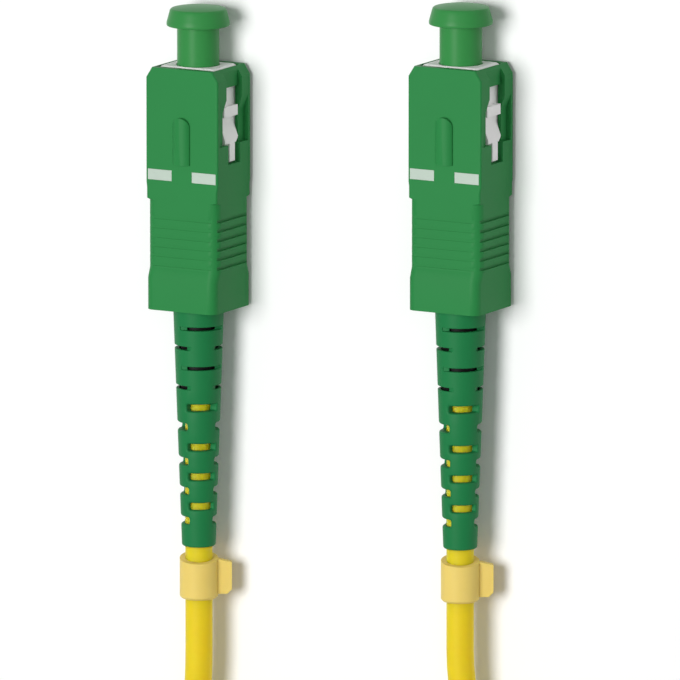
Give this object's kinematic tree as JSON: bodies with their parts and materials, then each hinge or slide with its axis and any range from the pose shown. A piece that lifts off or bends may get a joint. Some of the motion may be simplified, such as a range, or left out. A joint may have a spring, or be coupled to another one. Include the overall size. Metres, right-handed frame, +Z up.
{
  "type": "fibre optic patch cable",
  "caption": "Yellow fibre optic patch cable with a green push-pull connector, slotted boot and dust cap on each end, for linking fibre ports.",
  "frame": {"origin": "on the floor, centred under the two connectors, which lie side by side", "axes": "+Y along the connectors towards their caps, +Z up through the keyed faces, +X towards end b"},
  "size_m": [0.0484, 0.1403, 0.0085],
  "materials": {
    "grip_green": "satin moulded thermoplastic",
    "cap_green": "soft satin moulded plastic",
    "boot_green": "matt flexible elastomer",
    "frame_white": "matt moulded plastic",
    "zirconia": "ground and polished",
    "nickel": "nickel plated",
    "spring_steel": "drawn wire",
    "crimp_black": "black oxide",
    "fibre_buffer": "smooth tight buffer",
    "jacket_yellow": "smooth extruded jacket",
    "clip_cream": "translucent moulded plastic",
    "tie_black": "woven hook and loop strap"
  },
  "bodies": {
    "cable": {"cable_coil": "jacket_yellow", "coil_tie": "tie_black", "plug_frame_a": "frame_white", "spring_a": "spring_steel", "back_post_a": "nickel", "crimp_sleeve_a": "crimp_black", "boot_a": "boot_green", "cable_clip_a": "clip_cream", "cable_tail_a": "jacket_yellow", "plug_frame_b": "frame_white", "spring_b": "spring_steel", "back_post_b": "nickel", "crimp_sleeve_b": "crimp_black", "boot_b": "boot_green", "cable_clip_b": "clip_cream", "cable_tail_b": "jacket_yellow"},
    "grip_a": {"grip_a": "grip_green"},
    "ferrule_a": {"ferrule_a": "zirconia", "ferrule_flange_a": "nickel", "fibre_a": "fibre_buffer"},
    "cap_a": {"dust_cap_a": "cap_green"},
    "grip_b": {"grip_b": "grip_green"},
    "ferrule_b": {"ferrule_b": "zirconia", "ferrule_flange_b": "nickel", "fibre_b": "fibre_buffer"},
    "cap_b": {"dust_cap_b": "cap_green"}
  },
  "joints": [
    {"name": "grip_slide_a", "type": "slide", "parent": "cable", "child": "grip_a", "axis": [0, 1, 0], "range_m": [-0.002, 0]},
    {"name": "ferrule_slide_a", "type": "slide", "parent": "cable", "child": "ferrule_a", "axis": [0, 1, 0], "range_m": [-0.002, 0], "stiffness_N_per_m": 1200, "deforming": ["spring_a"]},
    {"name": "cap_pull_a", "type": "slide", "parent": "ferrule_a", "child": "cap_a", "axis": [0, 1, 0], "range_m": [0, 0.012]},
    {"name": "grip_slide_b", "type": "slide", "parent": "cable", "child": "grip_b", "axis": [0, 1, 0], "range_m": [-0.002, 0]},
    {"name": "ferrule_slide_b", "type": "slide", "parent": "cable", "child": "ferrule_b", "axis": [0, 1, 0], "range_m": [-0.002, 0], "stiffness_N_per_m": 1200, "deforming": ["spring_b"]},
    {"name": "cap_pull_b", "type": "slide", "parent": "ferrule_b", "child": "cap_b", "axis": [0, 1, 0], "range_m": [0, 0.012]}
  ]
}
